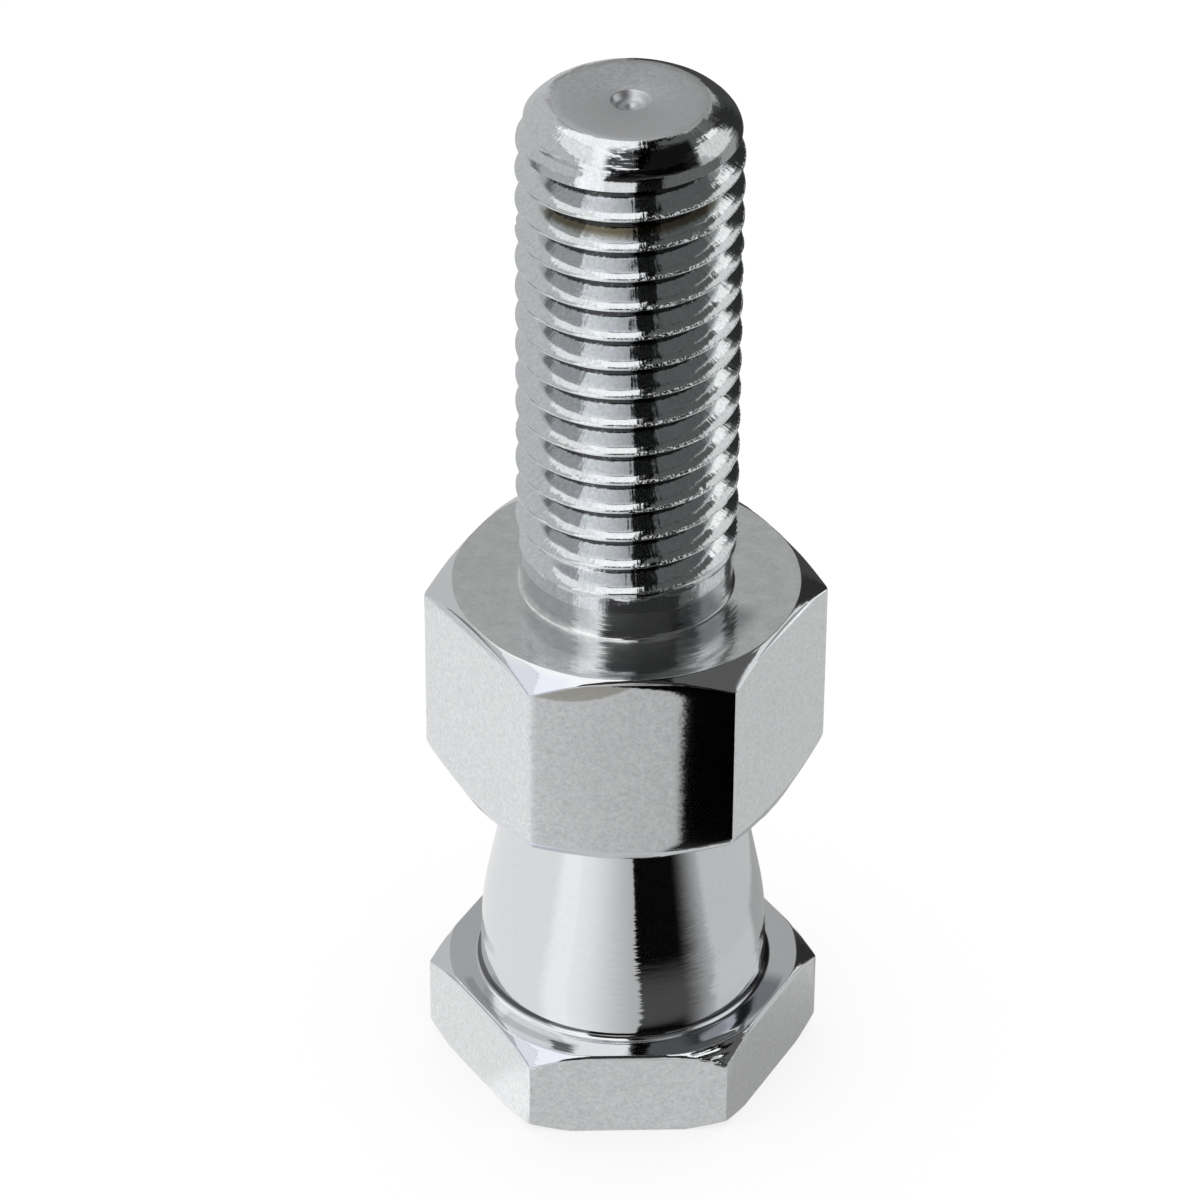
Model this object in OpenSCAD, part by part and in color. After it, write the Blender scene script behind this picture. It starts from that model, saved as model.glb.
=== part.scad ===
// Threaded stud, turned as one piece from hexagon bar.
// It stands on its lower hexagon with the thread up. Z runs along its axis.

/* [Hexagon bar] */
// Size of the bar across its flats
across_flats = 15.9; // [15:0.1:18]

/* [Lower hexagon] */
// Height of the flange at the foot
foot_h = 4.5; // [3.5:0.1:6]
// Diameter of the circle where the corner chamfers start, at its top
foot_top_chamfer_d = 16.4; // [16.2:0.1:17]
// Diameter of the circle where the corner chamfers start, at its underside
foot_bottom_chamfer_d = 16.6; // [16.2:0.1:17]

/* [Neck for the clamp screw] */
// Height from the lower hexagon to the upper one
neck_h = 11.5; // [9:0.1:16]
// Diameter at the belly, its widest place
neck_belly_d = 13.4; // [12.6:0.1:13.5]
// Height of the belly over the lower hexagon
neck_belly_rise = 1.3; // [1:0.1:2]
// Size of the small fillet at its foot, up and outward
neck_fillet = 0.3; // [0.1:0.05:0.5]
// Angle between the straight taper and the axis
neck_taper = 11; // [6:0.5:13]
// Radius of the curve from the belly into the taper
neck_curve_r = 18; // [12:1:32]

/* [Upper hexagon] */
// Height of the hexagon that the clamp grips
shank_h = 10; // [8:0.1:16]
// Diameter of the circle where its corner chamfers start, top and underside
shank_chamfer_d = 15.8; // [14.4:0.1:17]

/* [Thread] */
// Length from the upper hexagon to the end of the thread
thread_l = 25; // [15:0.5:45]
// Outer diameter over the crests
thread_d = 10; // [9:0.5:12]
// Distance from one crest to the next
thread_pitch = 1.5; // [1:0.25:1.75]
// Diameter of the plain stretch that the thread runs out on
runout_d = 9.6; // [8.6:0.1:9.6]
// Height of the plain stretch, over the upper hexagon
runout_h = 2.2; // [1:0.1:4]
// Size of the small fillet at its foot, up and outward
runout_fillet = 0.2; // [0.1:0.05:0.4]
// Diameter of the flat end face
end_d = 7.2; // [5.5:0.1:7.5]
// Height of the chamfer round the end
end_chamfer_h = 1.8; // [1.2:0.1:2.2]

/* [Centre mark] */
// Diameter of the turning centre in the end face
centre_d = 1.65; // [1:0.05:3]

/* [Hidden] */
chamfer_slope = tan(30);
corner_d = across_flats / cos(30);
shank_z = foot_h + neck_h;
thread_z = shank_z + shank_h;
overall_l = thread_z + thread_l;
crest_w = thread_pitch / 8;
root_w = thread_pitch / 4;
thread_depth = (thread_pitch - crest_w - root_w) / 2 / tan(30);
ridges = ceil((thread_l - runout_h) / thread_pitch);
curve_steps = 8;
centre_slope = tan(30);
inside = 1;
$fn = 96;

// A length of hexagon bar with a flat toward -Y, chamfered at both ends
module chamfered_hexagon(height, bottom_chamfer_d, top_chamfer_d) {
    bottom_drop = (corner_d - bottom_chamfer_d) / 2 * chamfer_slope;
    top_drop = (corner_d - top_chamfer_d) / 2 * chamfer_slope;
    intersection() {
        cylinder(d = corner_d, h = height, $fn = 6);
        rotate_extrude()
            polygon([
                [0, 0], [bottom_chamfer_d / 2, 0], [corner_d / 2, bottom_drop],
                [corner_d / 2, height - top_drop], [top_chamfer_d / 2, height], [0, height]
            ]);
    }
}

module lower_hexagon() {
    chamfered_hexagon(foot_h, foot_bottom_chamfer_d, foot_top_chamfer_d);
}

// A fillet at its foot, wide at the belly, then a curve into a straight taper up to the upper hexagon
module neck() {
    belly_r = neck_belly_d / 2;
    belly_z = foot_h + neck_belly_rise;
    curve_x = belly_r - neck_curve_r;
    curve = [
        for (i = [0 : curve_steps])
            let (a = neck_taper * i / curve_steps)
                [curve_x + neck_curve_r * cos(a), belly_z + neck_curve_r * sin(a)]
    ];
    curve_end = curve[curve_steps];
    top_z = shank_z + inside;
    top_r = curve_end.x - (top_z - curve_end.y) * tan(neck_taper);
    rotate_extrude()
        polygon(concat(
            [
                [0, foot_h - inside], [belly_r + neck_fillet, foot_h - inside],
                [belly_r + neck_fillet, foot_h], [belly_r, foot_h + neck_fillet]
            ],
            curve,
            [[top_r, top_z], [0, top_z]]
        ));
}

module upper_hexagon() {
    translate([0, 0, shank_z]) chamfered_hexagon(shank_h, shank_chamfer_d, shank_chamfer_d);
}

// The plain stretch over the upper hexagon, with the small fillet at its foot
module runout() {
    translate([0, 0, thread_z - inside]) cylinder(d = runout_d, h = inside + runout_h);
    translate([0, 0, thread_z])
        cylinder(d1 = runout_d + 2 * runout_fillet, d2 = runout_d, h = runout_fillet);
}

// The 60 degree thread form, one ridge a turn, cut off by the chamfer at the end
module thread() {
    root_r = thread_d / 2 - thread_depth;
    flank = (thread_pitch - crest_w - root_w) / 2;
    first_z = thread_z + runout_h;
    ridge_points = [
        for (i = [0 : ridges - 1])
            let (z = first_z + i * thread_pitch)
                each [
                    [root_r, z + root_w / 2],
                    [thread_d / 2, z + root_w / 2 + flank],
                    [thread_d / 2, z + root_w / 2 + flank + crest_w],
                    [root_r, z + thread_pitch - root_w / 2]
                ]
    ];
    last_z = first_z + ridges * thread_pitch;
    intersection() {
        rotate_extrude()
            polygon(concat([[0, first_z - inside], [root_r, first_z - inside]], ridge_points,
                [[root_r, last_z], [0, last_z]]));
        rotate_extrude()
            polygon([
                [0, thread_z], [thread_d, thread_z], [thread_d, overall_l - end_chamfer_h],
                [thread_d / 2, overall_l - end_chamfer_h], [end_d / 2, overall_l], [0, overall_l]
            ]);
    }
}

// The small turning centre in the end face
module centre_mark() {
    depth = centre_d / 2 * centre_slope;
    translate([0, 0, overall_l - depth])
        cylinder(d1 = 0, d2 = centre_d * 2, h = 2 * depth);
}

module stud() {
    color("silver")
        difference() {
            union() {
                lower_hexagon();
                neck();
                upper_hexagon();
                runout();
                thread();
            }
            centre_mark();
        }
}

stud();
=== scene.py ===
"""A threaded stud, turned from hexagon bar and chrome plated, standing on its lower hexagon.

Lengths are in millimetres and become metres where they meet Blender.
Angles round the axis start at the front, -Y, and grow toward +X.
"""
import math
import random

import bmesh
import bpy
import numpy as np
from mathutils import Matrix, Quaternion, Vector


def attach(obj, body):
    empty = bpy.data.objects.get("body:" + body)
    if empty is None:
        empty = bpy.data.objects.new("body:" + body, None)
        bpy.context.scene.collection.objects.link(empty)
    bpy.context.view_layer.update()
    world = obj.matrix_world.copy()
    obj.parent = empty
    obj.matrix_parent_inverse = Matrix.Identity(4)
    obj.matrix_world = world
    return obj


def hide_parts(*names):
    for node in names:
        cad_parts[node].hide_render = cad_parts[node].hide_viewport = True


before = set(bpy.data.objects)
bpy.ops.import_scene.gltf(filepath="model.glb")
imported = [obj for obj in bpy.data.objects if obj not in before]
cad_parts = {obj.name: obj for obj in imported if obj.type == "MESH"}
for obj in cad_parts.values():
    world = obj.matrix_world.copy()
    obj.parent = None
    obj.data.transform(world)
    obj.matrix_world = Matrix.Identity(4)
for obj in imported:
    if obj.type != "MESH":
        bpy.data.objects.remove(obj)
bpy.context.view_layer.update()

MM = 0.001
TO_DEGREES = 180 / math.pi
TAN_30 = math.tan(math.radians(30))

# Hexagon bar. Half a flat is in degrees round the axis. The arris is the least that comes off its end edges
APOTHEM = 15.9 / 2
HALF_FLAT = 30
CORNER_RADIUS = 0.2
ARRIS = 0.09
ARRIS_DROP = 0.17

# Heights along the axis
FOOT_TOP = 4.5
SHANK_BOTTOM = 16.0
SHANK_TOP = 26.0
RUNOUT_TOP = 28.2
END = 51.0

# Neck: its belly, the curve over it and the straight taper
NECK_RADIUS = 6.7
NECK_FILLET = 0.4
BELLY = 5.8
NECK_CURVE = 18
NECK_TAPER = 11

# Circles where the corner chamfers start
FOOT_BOTTOM_CHAMFER = 8.3
FOOT_TOP_CHAMFER = 8.2
SHANK_CHAMFER = 7.9

# Thread. Its rows start on the plain stretch, and the height of the crest is the one at the front
RUNOUT_RADIUS = 4.8
RUNOUT_FILLET = 0.25
ROWS_START = 27.4
PITCH = 1.5
CREST_RADIUS = 5.0
ROOT_RADIUS = 4.08
ROOT_WIDTH = 0.25
CREST_HEIGHT = 46.51
TURNS = range(-15, 6)

# Points on its flank: (radius, height over the crest)
FLANK = ((4.93, 0.115), (4.7, 0.2669), (4.5, 0.3826), (4.3, 0.4981))

# Nicks in the crests, and how far from the crest they go
NICKS = 110
NICK_REACH = 0.2

# The groove gets its full depth in part of a turn over its lowest place, and loses it below its highest
LOWEST_GROOVE = 28.45
GROOVE_RUNS_IN = 0.55
HIGHEST_GROOVE = 50.5
RUNS_OUT = 1.0

# The domed end of the thread: (height, radius), up to the flat end face
END_DOME = ((48.9, 5.0), (49.2, 4.95), (49.6, 4.88), (49.85, 4.82), (50.05, 4.74), (50.3, 4.56),
            (50.6, 4.25), (50.85, 3.85), (51.0, 3.42))

# Mesh: columns on each flat, distance at which points are joined, angle of a sharp edge in degrees
COLUMNS_A_FLAT = 24
WELD = 0.004
SHARP_EDGE = 32

# Colours of the plate, dull and bright, on each kind of surface
PLATE = (0.755, 0.77, 0.79, 1), (0.825, 0.835, 0.845, 1)
FLATS = (0.68, 0.69, 0.70, 1), (0.92, 0.93, 0.94, 1)
TURNED = (0.66, 0.67, 0.68, 1), (0.92, 0.93, 0.93, 1)
NECK = (0.735, 0.75, 0.765, 1), (0.84, 0.85, 0.86, 1)
CUT = (0.60, 0.61, 0.625, 1), (0.96, 0.965, 0.97, 1)
FACED = (0.58, 0.59, 0.60, 1), (0.76, 0.77, 0.78, 1)

# Colours of what lies on it: tarnish, pits, a mark and oil, with a darker patch on the land. The others are
# painted reflections and painted shade, and the tarnish carries a painted tint.
# Tarnish, which also carries a painted reflection tint, darker and more green on the thread's right
TARNISH_AND_REFLECTED_TINT = (0.60, 0.68, 0.65, 1), (0.72, 0.72, 0.82, 1)
PIT = (0.4, 0.4, 0.41, 1)
# Painted reflection: the tan band on the front flat
TAN_REFLECTION = (0.42, 0.40, 0.35, 1)
# Painted dark reflections on the shoulder and the plain stretch
DARK_REFLECTION = (0.2, 0.21, 0.22, 1)
# Darker patch on the land
DARKER_LAND_PATCH = (0.2, 0.2, 0.21, 1)
# Painted reflection: dark blue on the land
BLUE_REFLECTION = (0.15, 0.16, 0.21, 1)
# Painted reflection: lavender on the chamfers
LAVENDER_REFLECTION = (0.68, 0.70, 0.81, 1)
MARK = (0.06, 0.06, 0.07, 1)
# Painted shade in the fillet corner
PAINTED_CORNER_SHADE = (0.05, 0.05, 0.055, 1)
OIL = (0.28, 0.25, 0.16, 1)
# Painted shade in the thread roots
ROOT_SHADE = (0.02, 0.02, 0.024, 1)
# Painted dark reflection on the domed end
DARK_DOME_REFLECTION = (0.015, 0.015, 0.018, 1)

# Azimuth of the camera in degrees, and the floor
CAMERA_SIDE = -2.25
FLOOR_REACH = 3000
FLOOR_DROP = 0.02
PAPER = (0.32, 0.32, 0.32, 1)
PAPER_GLOW = 0.71


# Shape

def columns():
    """Angles of the vertical lines of the mesh, closest together beside the corners."""
    half = np.linspace(0, 1, COLUMNS_A_FLAT // 2 + 1)[:-1]
    spread = np.concatenate([ease_in(half) - 1, ease_out(half)])
    on_flat = np.degrees(np.arctan(spread * TAN_30))
    return np.concatenate([on_flat + 2 * HALF_FLAT * flat for flat in range(6)])


def ease_in(t):
    """0 to 1, slow at the start, where a corner is."""
    return 0.35 * t + 0.65 * t * t


def ease_out(t):
    """0 to 1, slow at the end, where a corner is."""
    return 1 - ease_in(1 - t)


def bar_radius(angles):
    """Distance from the axis to the rounded hexagon at each angle."""
    off_flat = (angles + HALF_FLAT) % (2 * HALF_FLAT) - HALF_FLAT
    flat = APOTHEM / np.cos(np.radians(off_flat))
    off_corner = np.radians(HALF_FLAT - np.abs(off_flat))
    centre = (APOTHEM - CORNER_RADIUS) / math.cos(math.radians(HALF_FLAT))
    reach = CORNER_RADIUS ** 2 - (centre * np.sin(off_corner)) ** 2
    rounded = centre * np.cos(off_corner) + np.sqrt(np.maximum(reach, 0))
    touch = math.degrees(math.atan((APOTHEM - CORNER_RADIUS) * TAN_30 / APOTHEM))
    return np.where(np.abs(off_flat) > touch, rounded, flat)


def softened(corners):
    """Rows of a profile from its corners, (radius, height, rounding, steps).

    Each corner is rounded by a small arc that takes less than half of the way to its neighbours.
    """
    rows = []
    width = max(np.size(value) for corner in corners for value in corner[:2])
    points = [np.array([np.broadcast_to(value, width) for value in corner[:2]], float) for corner in corners]
    for i, (point, (_, _, rounding, steps)) in enumerate(zip(points, corners)):
        if not rounding or i in (0, len(corners) - 1):
            rows.append(point)
            continue
        back, ahead = points[i - 1] - point, points[i + 1] - point
        back_length, ahead_length = np.hypot(*back), np.hypot(*ahead)
        trim = np.minimum(rounding, 0.45 * np.minimum(back_length, ahead_length))
        first = point + back * trim / np.maximum(back_length, 1e-9)
        last = point + ahead * trim / np.maximum(ahead_length, 1e-9)
        for t in np.linspace(0, 1, steps):
            rows.append((1 - t) ** 2 * first + 2 * t * (1 - t) * point + t * t * last)
    return rows


class Turning:
    """Rows of points up the stud, and the finish of the band that ends at each row."""

    def __init__(self, angles):
        self.angles = angles
        self.radii, self.heights, self.finish = [], [], []

    def add(self, rows, finish):
        for radius, height in rows:
            self.radii.append(np.broadcast_to(radius, self.angles.shape).astype(float))
            self.heights.append(np.broadcast_to(height, self.angles.shape).astype(float))
            self.finish.append(finish)


def foot_rows(turning, bar):
    """The lower hexagon, from the middle of its underside to the fillet at the foot of the neck."""
    underside, middle, land = 7, 2.2, 7.5
    low = np.minimum(FOOT_BOTTOM_CHAMFER, bar - ARRIS)
    high = np.minimum(FOOT_TOP_CHAMFER, bar - ARRIS)
    low_edge = (bar - low) * TAN_30
    high_edge = FOOT_TOP - np.maximum((bar - high) * TAN_30, ARRIS_DROP)
    turning.add([(0, 0), (2.5, 0), (5, 0), (underside, 0)], "turned")
    turning.add(softened([(underside, 0, 0, 1), (low, 0, 0.04, 3), (bar, low_edge, 0.04, 3),
                          (bar, middle, 0, 1)])[1:-1], "turned")
    edge = softened([(bar, middle, 0, 1), (bar, high_edge, 0.1, 3), (high, FOOT_TOP, 0.06, 3),
                     (land, FOOT_TOP, 0, 1)])
    turning.add(edge[:2], "flats")
    turning.add(edge[2:], "chamfers")
    turning.add(softened([(land, FOOT_TOP, 0, 1), (NECK_RADIUS, FOOT_TOP, NECK_FILLET, 10),
                          (NECK_RADIUS, BELLY, 0, 1)])[1:-1], "chamfers")


def neck_rows(turning):
    """The neck for the clamp screw, widest at its belly. Returns its radius under the upper hexagon."""
    curve = [(NECK_RADIUS, 5.2), (NECK_RADIUS, 5.5)]
    for lean in range(NECK_TAPER + 1):
        lean = math.radians(lean)
        curve.append((NECK_RADIUS - NECK_CURVE * (1 - math.cos(lean)), BELLY + NECK_CURVE * math.sin(lean)))
    radius, height = curve[-1]
    taper = math.tan(math.radians(NECK_TAPER))
    curve += [(radius - (z - height) * taper, z) for z in (10, 11, 12, 13, 14, 15, 15.9)]
    turning.add(curve, "neck")
    return radius - (SHANK_BOTTOM - height) * taper


def shank_rows(turning, bar, neck_radius):
    """The upper hexagon and the plain stretch over it, from the top of the neck to the thread."""
    underside, middle, shoulder, plain = 6.5, 21, 7.0, 5.2
    chamfer = np.minimum(SHANK_CHAMFER, bar - ARRIS)
    low_edge = SHANK_BOTTOM + (bar - chamfer) * TAN_30
    high_edge = SHANK_TOP - np.maximum((bar - chamfer) * TAN_30, ARRIS_DROP)
    turning.add([(neck_radius, SHANK_BOTTOM), (underside, SHANK_BOTTOM)], "turned")
    turning.add(softened([(underside, SHANK_BOTTOM, 0, 1), (chamfer, SHANK_BOTTOM, 0.1, 3),
                          (bar - 0.13, low_edge, 0.05, 3), (bar, low_edge + 0.36, 0.05, 3),
                          (bar, middle, 0, 1)])[1:-1], "chamfers")
    edge = softened([(bar, middle, 0, 1), (bar, high_edge, 0.1, 3), (chamfer, SHANK_TOP, 0.06, 3),
                     (shoulder, SHANK_TOP, 0, 1)])
    turning.add(edge[:2], "flats")
    turning.add(edge[2:6], "chamfers")
    turning.add(edge[6:], "turned")
    turning.add([(6.0, SHANK_TOP), (plain, SHANK_TOP)], "turned")
    turning.add(softened([(plain, SHANK_TOP, 0, 1), (RUNOUT_RADIUS, SHANK_TOP, RUNOUT_FILLET, 7),
                          (RUNOUT_RADIUS, 27, 0, 1)])[1:], "turned")
    turning.add([(RUNOUT_RADIUS, ROWS_START)], "turned")


def ridge_rows():
    """One ridge of the thread, the 60 degree form from root to root: (radius, height over the crest)."""
    flank_foot = (PITCH - ROOT_WIDTH) / 2
    upper = [(radius, height, 0, 1) for radius, height in FLANK]
    upper += [(ROOT_RADIUS, flank_foot, 0.05, 4), (ROOT_RADIUS, PITCH / 2, 0, 1)]
    lower = [(radius, -height, rounding, steps) for radius, height, rounding, steps in reversed(upper)]
    crest = (CREST_RADIUS + 0.04, 0, 0.12, 5)
    return [(radius[0], height[0]) for radius, height in softened([*lower, crest, *upper])][1:]


def thread_rows(angles):
    """The right-hand thread: rows that climb one pitch a turn, held between the plain stretch and the end."""
    ridge = ridge_rows()
    climb = CREST_HEIGHT + PITCH * angles / 360
    rng = random.Random(7)
    nicks = [(rng.randrange(-12, 3), rng.uniform(-30, 330), rng.uniform(1, 4), rng.uniform(0.02, 0.09))
             for _ in range(NICKS)]
    radii, heights = [], []
    for turn in TURNS:
        groove_above = climb + (turn + 0.5) * PITCH
        groove_below = climb + (turn - 0.5) * PITCH
        dent = sum(depth * np.exp(-((angles - angle) / width) ** 2)
                   for at, angle, width, depth in nicks if at == turn)
        for radius, offset in ridge:
            near = groove_above if offset > 0 else groove_below
            run_in = np.clip((near - LOWEST_GROOVE) / (GROOVE_RUNS_IN * PITCH), 0, 1)
            run_in = run_in * run_in * (3 - 2 * run_in) * np.clip((HIGHEST_GROOVE - near) / RUNS_OUT, 0, 1)
            height = climb + turn * PITCH + offset
            depth = (CREST_RADIUS - radius) * run_in
            if abs(offset) < NICK_REACH:
                depth = np.maximum(depth, dent)
            body = RUNOUT_RADIUS + np.clip(height - RUNOUT_TOP, 0, CREST_RADIUS - RUNOUT_RADIUS)
            radii.append(np.minimum(body, CREST_RADIUS - depth))
            heights.append(height)
    radii, heights = np.array(radii), np.array(heights)
    for column in range(len(angles)):
        cut_by_dome(radii[:, column], heights[:, column])
    low = heights < ROWS_START
    radii[low], heights[low] = RUNOUT_RADIUS, ROWS_START
    return radii, heights, len(ridge)


def dome_radius(height):
    heights, radii = zip(*END_DOME)
    return np.interp(height, heights, radii)


def cut_by_dome(radius, height):
    """Trims one line of the thread at the domed end, with a point on the cut itself."""
    over = radius - dome_radius(height)
    for i in np.nonzero(over[:-1] * over[1:] < 0)[0]:
        share = over[i] / (over[i] - over[i + 1])
        keep = i if share < 0.5 else i + 1
        cut_radius = radius[i] + share * (radius[i + 1] - radius[i])
        cut_height = height[i] + share * (height[i + 1] - height[i])
        radius[keep], height[keep] = cut_radius, cut_height
        over[keep] = 0
    height[:] = np.minimum(height, END)
    radius[:] = np.minimum(radius, dome_radius(height))


def end_rows(turning):
    """The flat end face and the turning centre in its middle."""
    turning.add(softened([(3.0, END, 0, 1), (0.86, END, 0.05, 3), (0.62, END - 0.28, 0.2, 4),
                          (0.25, END - 0.34, 0.1, 3), (0.0, END - 0.45, 0, 1)]), "end")


def build_stud(finishes):
    """The whole stud as one closed mesh, in which each surface has its own finish."""
    angles = columns()
    bar = bar_radius(angles)
    body, end = Turning(angles), Turning(angles)
    foot_rows(body, bar)
    neck_radius = neck_rows(body)
    shank_rows(body, bar, neck_radius)
    thread_radii, thread_heights, rows_a_turn = thread_rows(angles)
    end_rows(end)
    radii = np.vstack([body.radii, thread_radii, end.radii])
    heights = np.vstack([body.heights, thread_heights, end.heights])
    finish = body.finish + ["thread"] * len(thread_radii) + end.finish
    first, last = len(body.radii), len(body.radii) + len(thread_radii)

    turn = np.radians(angles)
    points = np.stack([radii * np.sin(turn), -radii * np.cos(turn), heights], axis=-1) * MM
    rows, count = radii.shape
    slots = {name: i for i, name in enumerate(finishes)}

    def vertex(row, column):
        """The thread's rows meet the row one turn higher after the last column, the others themselves."""
        if column == count:
            if first <= row < last:
                row = min(row + rows_a_turn, last - 1)
            column = 0
        return row * count + column

    faces, marks = [], []
    for row in range(rows - 1):
        for column in range(count):
            faces.append((vertex(row, column), vertex(row, column + 1),
                          vertex(row + 1, column + 1), vertex(row + 1, column)))
            marks.append(slots[finish[row + 1]])
    mesh = bpy.data.meshes.new("stud_body")
    mesh.from_pydata([tuple(p) for p in points.reshape(-1, 3)], [], faces)
    mesh.polygons.foreach_set("material_index", marks)
    weld_and_shade(mesh)
    for material in finishes.values():
        mesh.materials.append(material)
    stud = bpy.data.objects.new("stud_body", mesh)
    bpy.context.scene.collection.objects.link(stud)
    normals = stud.modifiers.new("flats_stay_flat", "WEIGHTED_NORMAL")
    normals.mode = "FACE_AREA"
    normals.weight = 100
    normals.keep_sharp = True
    return stud


def weld_and_shade(mesh):
    """Joins the points that fall together, and shades the mesh smooth between its sharp edges."""
    weld = bmesh.new()
    weld.from_mesh(mesh)
    bmesh.ops.remove_doubles(weld, verts=weld.verts, dist=WELD * MM)
    bmesh.ops.recalc_face_normals(weld, faces=weld.faces)
    for face in weld.faces:
        face.smooth = True
    for edge in weld.edges:
        if len(edge.link_faces) == 2 and edge.calc_face_angle(0) > math.radians(SHARP_EDGE):
            edge.smooth = False
    weld.to_mesh(mesh)
    weld.free()


# Shader maths

class Wire:
    """An output of a node. Arithmetic on it adds the Math nodes that it needs."""

    def __init__(self, bench, socket):
        self.bench, self.socket = bench, socket

    def __add__(self, other):
        return self.bench.math("ADD", self, other)

    __radd__ = __add__

    def __mul__(self, other):
        return self.bench.math("MULTIPLY", self, other)

    __rmul__ = __mul__

    def __sub__(self, other):
        return self.bench.math("SUBTRACT", self, other)

    def __rsub__(self, other):
        return self.bench.math("SUBTRACT", other, self)

    def __truediv__(self, other):
        return self.bench.math("DIVIDE", self, other)

    def __rtruediv__(self, other):
        return self.bench.math("DIVIDE", other, self)

    def __neg__(self):
        return self.bench.math("MULTIPLY", self, -1)


class Bench:
    """The node tree of a material or of the world."""

    def __init__(self, owner):
        owner.use_nodes = True
        self.tree = owner.node_tree
        self.tree.nodes.clear()

    def node(self, kind, output=0, settings=None, **sockets):
        """Adds a node, sets it up and fills its sockets, by name, or i0, i1 by number.

        Returns one output by its name or number, or a list of them all where output is None.
        """
        made = self.tree.nodes.new("ShaderNode" + kind)
        for name, value in (settings or {}).items():
            setattr(made, name, value)
        for name, value in sockets.items():
            key = int(name[1:]) if name[0] == "i" and name[1:].isdigit() else name.replace("_", " ")
            if isinstance(value, Wire):
                self.tree.links.new(value.socket, made.inputs[key])
            else:
                made.inputs[key].default_value = value
        if output is None:
            return [Wire(self, socket) for socket in made.outputs]
        return Wire(self, made.outputs[output])

    def math(self, operation, *values):
        return self.node("Math", settings={"operation": operation},
                         **{f"i{n}": v for n, v in enumerate(values)})

    def vector(self, operation, *values, **sockets):
        return self.node("VectorMath", settings={"operation": operation},
                         **{f"i{n}": v for n, v in enumerate(values)}, **sockets)

    def step(self, value, start, stop, low=0.0, high=1.0):
        """A soft step from low to high as value goes from start to stop."""
        return self.node("MapRange", settings={"interpolation_type": "SMOOTHSTEP"},
                         Value=value, From_Min=start, From_Max=stop, To_Min=low, To_Max=high)

    def between(self, value, start, stop, soft):
        """1 between start and stop, with edges soft wide."""
        return self.step(value, start - soft / 2, start + soft / 2) * \
            self.step(value, stop - soft / 2, stop + soft / 2, 1.0, 0.0)

    def mix(self, amount, first, second):
        """Colour from first at amount 0 to second at amount 1."""
        return self.node("Mix", 2, {"data_type": "RGBA"}, i0=amount, i6=first, i7=second)

    def grey(self, level):
        return self.node("CombineColor", Red=level, Green=level, Blue=level)

    def noise(self, where, scale=1.0, detail=2.0, roughness=0.5):
        """Noise round 0, about -0.5 to 0.5."""
        return self.node("TexNoise", Vector=where, Scale=scale, Detail=detail, Roughness=roughness) - 0.5

    def join(self, x, y, z):
        return self.node("CombineXYZ", X=x, Y=y, Z=z)

    def split(self, vector):
        return self.node("SeparateXYZ", None, Vector=vector)


class Spot:
    """Where a point is on the stud: x, y, height and radius in mm, turn in degrees from the front."""

    def __init__(self, bench):
        self.bench = bench
        self.place = bench.vector("SCALE", bench.node("TexCoord", "Object"), Scale=1 / MM)
        self.x, self.y, self.height = bench.split(self.place)
        self.radius = bench.math("SQRT", self.x * self.x + self.y * self.y)
        self.turn = bench.math("ARCTAN2", self.x, -self.y) * TO_DEGREES

    def tilted(self, uphill, sideways):
        """The surface's normal tilted uphill along the turned profile, and sideways round the axis."""
        bench = self.bench
        normal = bench.node("NewGeometry", "Normal")
        around = bench.vector("NORMALIZE", bench.join(-self.y, self.x, 0.0))
        along = bench.vector("CROSS_PRODUCT", normal, around)
        lean = bench.vector("ADD", bench.vector("SCALE", along, Scale=uphill),
                            bench.vector("SCALE", around, Scale=sideways))
        return bench.vector("NORMALIZE", bench.vector("ADD", normal, lean))


def chrome(bench, colour, roughness, normal, metal=1.0):
    return bench.node("BsdfPrincipled", Base_Color=colour, Metallic=metal, Roughness=roughness, Normal=normal)


def finish_material(name, build):
    material = bpy.data.materials.new(name)
    bench = Bench(material)
    bench.node("OutputMaterial", None, Surface=build(bench, Spot(bench)))
    return material


# Finishes

def satin_flats(bench, spot):
    """The bar's own flats: speckled grain, slow waviness, rolled edges and a painted tan reflection along the
    top edge of the front flat.
    """
    grain = bench.noise(spot.place, 7.0, 2.0, 0.6)
    wave = bench.noise(spot.place, 0.3, 1.0, 0.4)
    mottled = bench.noise(spot.place, 3.6, 3.0, 0.65)
    pits = bench.step(bench.noise(spot.place, 5.0, 2.0, 0.7), 0.19, 0.27)

    top_rolled = bench.step(spot.height, SHANK_TOP - 0.9, SHANK_TOP - 0.1, 0.0, 0.12)
    bottom_rolled = bench.step(spot.height, SHANK_BOTTOM + 1.1, SHANK_BOTTOM + 0.2, 0.0, 0.1)
    near_ends = bench.step(spot.height, SHANK_TOP - 1.1, SHANK_TOP - 0.2)
    near_ends = near_ends + bench.step(spot.height, SHANK_BOTTOM + 1.0, SHANK_BOTTOM + 0.3)
    normal = spot.tilted(grain * 0.012 + wave * 0.01 + (top_rolled - bottom_rolled),
                         grain * 0.012 + wave * 0.005 + near_ends * 0.018)

    colour = bench.mix(grain * 1.7 + mottled * 1.1 + 0.5, *FLATS)
    colour = bench.mix(pits * 0.7, colour, PIT)
    # Painted reflection: a tan band along the top edge of the front flat, on its left part, bowed like the
    # rolled edge
    off_middle = spot.x + 2.6
    bowed = spot.height - off_middle * off_middle * 0.105 + grain * 0.25
    tan = bench.step(bowed, SHANK_TOP - 1.15, SHANK_TOP - 0.98)
    tan = tan * bench.step(spot.y, -7.0, -7.5) * bench.step(spot.x, 1.0, -0.4)
    colour = bench.mix(tan * 0.75, colour, TAN_REFLECTION)
    return chrome(bench, colour, 0.035, normal)


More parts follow.
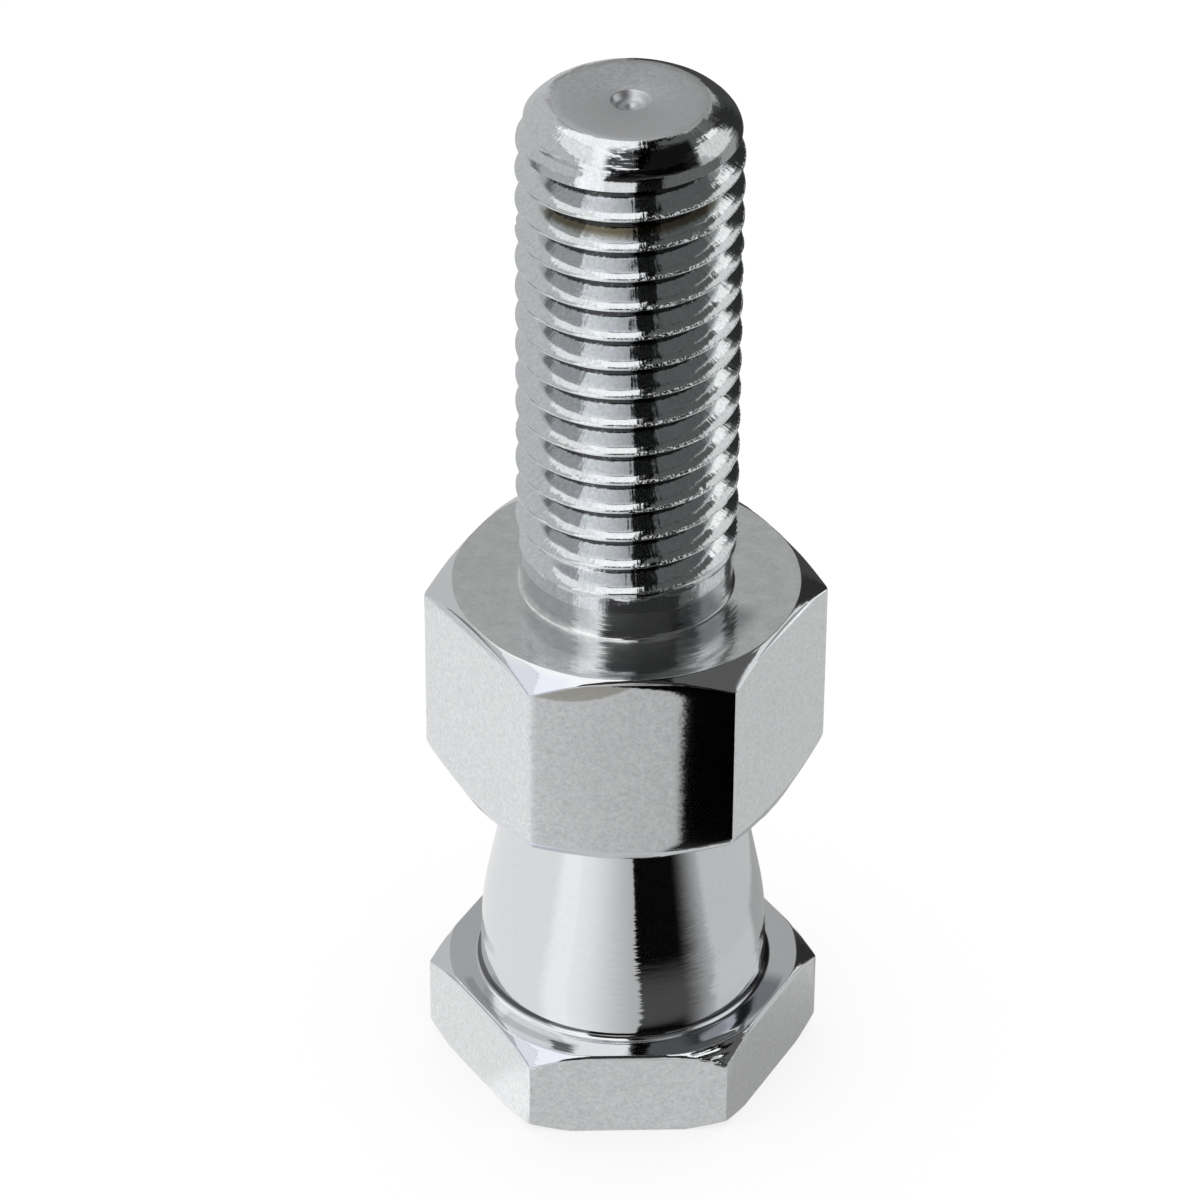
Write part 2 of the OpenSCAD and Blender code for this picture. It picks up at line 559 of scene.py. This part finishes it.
def turned_face(bench, spot):
    """The flat shoulder and the plain stretch: faint rings, broken up sideways, in a cloudy tone with painted
    dark reflections.
    """
    rings = bench.noise(bench.join(spot.radius * 12, spot.height * 12, spot.turn * 0.02), 1.0, 3.0, 0.6)
    ragged = bench.noise(bench.join(spot.radius * 9, spot.height * 9, spot.turn * 0.05 + 7), 1.0, 4.0, 0.7)
    cloud = bench.noise(spot.place, 1.3, 4.0, 0.65)
    specks = bench.noise(spot.place, 5.0, 2.0, 0.6)
    normal = spot.tilted(rings * 0.12 + cloud * 0.06, ragged * 0.32 + cloud * 0.05)

    colour = bench.mix(cloud * 1.3 + specks * 0.9 + 0.5, *TURNED)
    # Painted dark reflections: on the inner shoulder at the right front, and low on the plain stretch at the
    # left front
    dark_reflection = bench.between(spot.turn, 26, 64, 14) * bench.step(spot.radius, 7.0, 6.0) * 0.6
    dark_reflection = dark_reflection + bench.between(spot.turn, -80, -20, 14) * \
        bench.step(spot.height, SHANK_TOP + 0.1, SHANK_TOP + 0.5) * 0.4
    colour = bench.mix(dark_reflection, colour, DARK_REFLECTION)
    return chrome(bench, colour, 0.14, normal)


def chamfer_finish(bench, spot):
    """Chamfers and the land round the neck: smooth, with a few streaks, a mark, a darker patch, painted
    reflections in blue and lavender, painted shade in the fillet corner and a scuffed front corner.
    """
    streaks = bench.noise(bench.join(spot.radius * 7, spot.height * 7, spot.turn * 0.06), 1.0, 3.0, 0.6)
    outside = bench.step(spot.radius, 7.9, 8.3)
    at_foot = bench.step(spot.height, 6, 5)
    land = bench.step(spot.radius, 7.9, 7.7) * at_foot
    scuffed = outside * at_foot * bench.between(spot.turn, 10, 50, 6)
    sideways = streaks * (outside * 0.08 + 0.01) + scuffed * (streaks * 0.8 - 0.2)
    sideways = sideways + land * bench.between(spot.turn, 24, 70, 8) * 0.15
    normal = spot.tilted(streaks * (outside * 0.1 + 0.015), sideways)

    cloud = bench.noise(spot.place, 0.5, 3.0, 0.6)
    # Darker on the outer land at the left front
    darker_land_patch = land * bench.between(spot.turn, -75, -18, 3) * bench.step(spot.radius, 7.3, 7.45)
    colour = bench.mix(darker_land_patch * 0.35, bench.mix(cloud * 0.8 + 0.5, *PLATE), DARKER_LAND_PATCH)
    # Painted reflection: a dark blue patch on the land at the right front
    blue_reflection = land * bench.between(spot.turn, 22, 72, 10) * \
        bench.step(spot.height, FOOT_TOP + 0.06, FOOT_TOP + 0.02)
    colour = bench.mix(blue_reflection * 0.72, colour, BLUE_REFLECTION)
    # Painted reflection: lavender on the corner chamfers at the left front
    colour = bench.mix(outside * bench.between(spot.turn, -52, -20, 6) * 0.6, colour, LAVENDER_REFLECTION)
    mark = bench.between(spot.turn + streaks * 12, -27, -20, 2) * bench.between(spot.radius, 7.5, 8.1, 0.1)
    colour = bench.mix(mark * at_foot * 0.85, colour, MARK)
    # Painted shade: a dark band in the fillet at the foot of the neck, wider toward the sides
    up_fillet = spot.height + bench.math("ABSOLUTE", spot.turn) * 0.003 + streaks * 0.1
    corner = land * bench.step(up_fillet, FOOT_TOP + 0.2, FOOT_TOP + 0.3) * \
        bench.step(spot.height, FOOT_TOP + 0.01, FOOT_TOP + 0.05)
    colour = bench.mix(corner * 0.85, colour, PAINTED_CORNER_SHADE)
    return chrome(bench, colour, 0.08, normal)


def turned_neck(bench, spot):
    """The neck: fine rings from the tool, which break the edges of reflections up, most of all low down."""
    rings = bench.noise(bench.join(spot.height * 11, spot.turn * 0.05, 0.0), 1.0, 4.0, 0.7)
    ragged = bench.noise(bench.join(spot.height * 10, spot.turn * 0.09, 4.0), 1.0, 3.0, 0.65)
    grain = bench.noise(spot.place, 5.0, 2.0, 0.6)
    foot = bench.step(spot.height - bench.math("ABSOLUTE", spot.turn) * 0.012, 6.0, 4.8)
    low = bench.step(spot.height, 12.5, 8.0, 0.12, 1.0) * (1 - foot * 0.8)
    normal = spot.tilted(rings * low * 0.15 + grain * 0.012 + foot * 0.24,
                         ragged * low * 0.2 + grain * 0.012 - 0.01)
    return chrome(bench, bench.mix(grain * 0.7 + 0.5, *NECK), 0.06, normal)


def thread_finish(bench, spot):
    """Cut flanks with chatter across them, worn crests, painted shade at the roots, an oily stain in one
    groove, a tarnish tint painted darker and more green on the right, and a painted dark reflection on the
    dome.
    """
    chatter = bench.noise(bench.join(spot.turn * 0.9, spot.height * 0.5, spot.radius * 0.3), 1.0, 4.0, 0.65)
    specks = bench.noise(spot.place, 6.0, 3.0, 0.7)
    blotches = bench.noise(spot.place, 1.6, 3.0, 0.6)
    flecks = bench.noise(spot.place, 10.0, 2.0, 0.6)
    brushed = bench.noise(bench.join(spot.turn * 0.05, spot.height * 6.0, 3.0), 1.0, 4.0, 0.7)
    scratched = brushed * bench.step(spot.height, END - 1.3, END - 0.9)
    normal = spot.tilted(specks * 0.1 + blotches * 0.05 + scratched * 0.22,
                         chatter * 0.19 + specks * 0.07 + scratched * 0.3)

    colour = bench.mix(specks * 1.9 + chatter * 0.8 + 0.5, *CUT)
    # Painted reflection tint: the tarnish turns darker and more green toward the right side
    tint_painted_on_right = bench.step(spot.turn, -5, 15) * 0.4
    colour = bench.mix(0.35, colour, bench.mix(blotches * 3.0 + 0.5 - tint_painted_on_right, *TARNISH_AND_REFLECTED_TINT))
    turns_up = (spot.height - CREST_HEIGHT) / PITCH - spot.turn / 360
    oily = bench.between(turns_up, 0.3, 1.0, 0.1) * bench.between(spot.turn, -62, 62, 20) * \
        bench.step(spot.radius + specks * 0.5, CREST_RADIUS - 0.25, CREST_RADIUS - 0.55)
    colour = bench.mix(oily * 0.75, colour, OIL)
    # Painted shade: the thread roots dark, below the domed end
    root_shade = bench.step(spot.radius + specks * 0.15, ROOT_RADIUS + 0.07, ROOT_RADIUS + 0.01) * \
        bench.step(spot.height, END - 1.4, END - 1.6)
    colour = bench.mix(root_shade * 0.94, colour, ROOT_SHADE)
    # Painted dark reflection: a dark patch with ragged edges on the domed end at the front
    dark_dome_reflection = bench.step(brushed + spot.turn * 0.005, -0.12, -0.04) * bench.between(spot.turn, -16, 37, 5) * \
        bench.between(spot.height + brushed * 0.5, END - 1.0, END - 0.15, 0.15)
    colour = bench.mix(dark_dome_reflection * 0.95, colour, DARK_DOME_REFLECTION)

    over_crest = (bench.math("FRACT", turns_up + 0.5) - 0.5) * PITCH
    worn = bench.step(spot.radius, CREST_RADIUS - 0.1, CREST_RADIUS - 0.04) * \
        bench.step(over_crest, -0.05, 0.0) * bench.step(flecks, 0.0, 0.1) * \
        bench.step(spot.turn, -30, 10) * bench.step(spot.height, RUNOUT_TOP + 0.3, RUNOUT_TOP + 0.7)
    return chrome(bench, colour, worn * 0.3 + 0.09, normal, 1 - worn * 0.7)


def end_face(bench, spot):
    """The end: a fine matt facing."""
    grain = bench.noise(spot.place, 5.5, 3.0, 0.7)
    normal = spot.tilted(grain * 0.25, grain * 0.2)
    return chrome(bench, bench.mix(grain * 1.8 + 0.5, *FACED), 0.38, normal)


# Studio

def from_camera_side(bench, x, y):
    """How far x, y is across to the right and ahead toward the camera, and its azimuth in degrees."""
    side = math.radians(CAMERA_SIDE)
    across = x * math.cos(side) + y * math.sin(side)
    ahead = x * math.sin(side) - y * math.cos(side)
    return across, ahead, bench.math("ARCTAN2", across, ahead) * TO_DEGREES


def painted(start, panels):
    """Lays panels of light and dark, (brightness, mask), over a starting brightness."""
    level = start
    for brightness, mask in panels:
        level = level + mask * (brightness - level)
    return level


def studio_world():
    """White for the camera and for matt surfaces. Polished metal sees softboxes and dark cards round it."""
    world = bpy.data.worlds.new("studio")
    bpy.context.scene.world = world
    world.cycles.sampling_method = "NONE"
    bench = Bench(world)
    x, y, up = bench.split(bench.node("TexCoord", "Generated"))
    across, _, azimuth = from_camera_side(bench, x, y)
    rise = bench.math("ARCSINE", up) * TO_DEGREES
    overhead = bench.step(rise, 43, 46)
    low = bench.step(rise, 45, 42)
    flank_line = rise + azimuth
    level = painted(0.3, [
        # grey walls on the left, from behind toward the front
        (0.58, bench.step(rise - azimuth, 171, 167) * bench.step(azimuth, -100, -104) * low),
        (0.58, bench.between(azimuth, -165, -100, 6) * low),
        (0.58, bench.between(azimuth, -102, -54, 3) * low),
        (0.46, bench.between(azimuth, -112, -54, 2) * bench.step(rise, 12, 8)),
        (0.2, bench.between(azimuth, -113, -100, 8) * bench.step(rise, 6, 2)),
        # the dark room in front, with a pale sheet below it and a softbox on its left
        (0.03, bench.between(azimuth, -30, 62, 4) * low),
        (0.9, bench.between(azimuth, -54, 5.5, 1) * bench.step(rise, 1, -1)),
        (1.15, bench.between(azimuth, -55, -25, 3) * low),
        # on the right: a dark wall, two grey panels and a bright one, and dark again behind
        (0.14, bench.step(azimuth, 5.2, 6) * bench.step(rise, 16, 12)),
        (0.14, bench.step(azimuth, 60, 66) * low),
        (0.5, bench.between(azimuth, 74, 112, 4) * bench.between(rise, 6, 34, 3)),
        (0.35, bench.between(azimuth, 98, 126, 4) * bench.step(rise, 9, 6)),
        (0.8, bench.between(azimuth, 88, 127, 4) * bench.between(rise, 8, 47, 4)),
        (0.03, bench.step(azimuth, 131, 134) * bench.step(rise, 37, 34)),
        (0.06, bench.step(azimuth, 149, 153) * bench.step(rise, 37, 34)),
        # overhead, from left to right
        (0.95, overhead * bench.step(across, -0.40, -0.46)),
        (1.15, overhead * bench.between(across, -0.43, 0.05, 0.02)),
        (0.0, overhead * bench.between(across, 0.05, 0.21, 0.01)),
        (0.11, overhead * bench.between(across, 0.21, 0.66, 0.03)),
        # the bright column on the right of the thread
        (1.15, bench.between(flank_line, 163, 171, 3) * bench.between(azimuth, 119.5, 134, 3)),
        # straight behind, seen in the flat tops
        (0.42, bench.between(rise, 16, 50, 8) * bench.step(bench.math("ABSOLUTE", azimuth), 155, 163)),
        # where the dark card on the floor goes on outward
        (0.0, bench.step(rise, 14, 8) * bench.between(azimuth, 5.2, 31, 1)),
    ])
    camera_ray = bench.node("LightPath", "Is Camera Ray")
    glossy = bench.node("LightPath", "Is Glossy Ray")
    level = bench.math("MAXIMUM", level * glossy + (1 - glossy), camera_ray)
    bench.node("OutputWorld", None, Surface=bench.node("Background", Color=bench.grey(level), Strength=1.0))


def floor():
    """A plain white floor, which keeps the soft shadow. Polished metal sees a sheet and a card on it."""
    mesh = bpy.data.meshes.new("floor")
    reach = FLOOR_REACH * MM
    mesh.from_pydata([(-reach, -reach, 0), (reach, -reach, 0), (reach, reach, 0), (-reach, reach, 0)],
                     [], [(0, 1, 2, 3)])
    sheet = bpy.data.objects.new("floor", mesh)
    sheet.location.z = -FLOOR_DROP * MM
    bpy.context.scene.collection.objects.link(sheet)
    material = bpy.data.materials.new("floor_white")
    bench = Bench(material)
    spot = Spot(bench)
    out = spot.radius
    across, ahead, azimuth = from_camera_side(bench, spot.x, spot.y)
    far_ahead = bench.step(ahead, 45, 90, 0.0, 6.0)
    card = bench.step(across - ahead * 0.1 + far_ahead, 1.2, 1.75) * bench.step(azimuth, 68, 38)
    beside_foot = bench.step(across, 4, 5) * bench.step(ahead, 8.2, 7.5)
    level = painted(0.85, [
        # behind on the left, then from the left round the front to the right
        (0.62, bench.step(azimuth, -96, -104) * bench.step(out, 42, 47)),
        (1.0, bench.between(azimuth, -54, -30, 10)),
        (bench.step(azimuth, -36, 14, 0.94, 0.48), bench.between(azimuth, -36, 70, 4)),
        (0.59, bench.step(azimuth, 60, 66)),
        # close to the foot, on the right and in front
        (bench.step(out, 8, 15, 0.38, 0.62), beside_foot * bench.step(out, 22, 17)),
        (0.6, bench.step(ahead, 7.5, 8.2) * bench.step(out, 13.9, 13.6)),
        # behind on the right
        (0.9, bench.step(azimuth, 133, 140) * bench.step(out, 39, 43)),
        (0.4, bench.step(azimuth, 102, 110) * bench.step(out, 23, 21)),
        (1.15, bench.between(azimuth, 96, 122, 4) * bench.step(out, 47, 50)),
        # the dark card
        (bench.step(out, 32, 16) * 0.07, card * bench.step(out, 13.6, 13.9) * bench.step(ahead, 0, 4)),
    ])
    sheet_edge = bench.step(azimuth, -56, -52, 80, 160) - bench.step(azimuth, 4, 6, 0, 94)
    on_sheet = bench.step(out - sheet_edge, 6, -6)
    for_metal = bench.node("MixShader", i0=on_sheet, i1=bench.node("BsdfTransparent"),
                           i2=bench.node("Emission", Color=bench.grey(level), Strength=1.0))
    paper = bench.node("AddShader", i0=bench.node("BsdfDiffuse", Color=PAPER),
                       i1=bench.node("Emission", Color=(1, 1, 1, 1), Strength=PAPER_GLOW))
    glossy = bench.node("LightPath", "Is Glossy Ray")
    bench.node("OutputMaterial", None, Surface=bench.node("MixShader", i0=glossy, i1=paper, i2=for_metal))
    mesh.materials.append(material)


def camera():
    """A long lens, 35 degrees above the floor and turned a little about its own line of sight."""
    lens = bpy.data.cameras.new("camera")
    lens.lens, lens.sensor_width = 179.07, 36.0
    lens.clip_start, lens.clip_end = 10 * MM, 20000 * MM
    eye = bpy.data.objects.new("camera", lens)
    place, aim = Vector((-8.667, -220.595, 181.444)) * MM, Vector((-1.189, 0.0, 24.772)) * MM
    roll = Quaternion((0, 0, 1), math.radians(0.3525))
    eye.location = place
    eye.rotation_mode = "QUATERNION"
    eye.rotation_quaternion = (aim - place).to_track_quat("-Z", "Y") @ roll
    bpy.context.scene.collection.objects.link(eye)
    bpy.context.scene.camera = eye


camera()
studio_world()
floor()
stud = build_stud({
    "flats": finish_material("chrome_satin_flats", satin_flats),
    "turned": finish_material("chrome_turned_faces", turned_face),
    "chamfers": finish_material("chrome_chamfers", chamfer_finish),
    "neck": finish_material("chrome_turned_neck", turned_neck),
    "thread": finish_material("chrome_thread", thread_finish),
    "end": finish_material("chrome_end_face", end_face),
})
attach(stud, "root")
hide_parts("stud")

bpy.context.scene.view_settings.view_transform = "Standard"
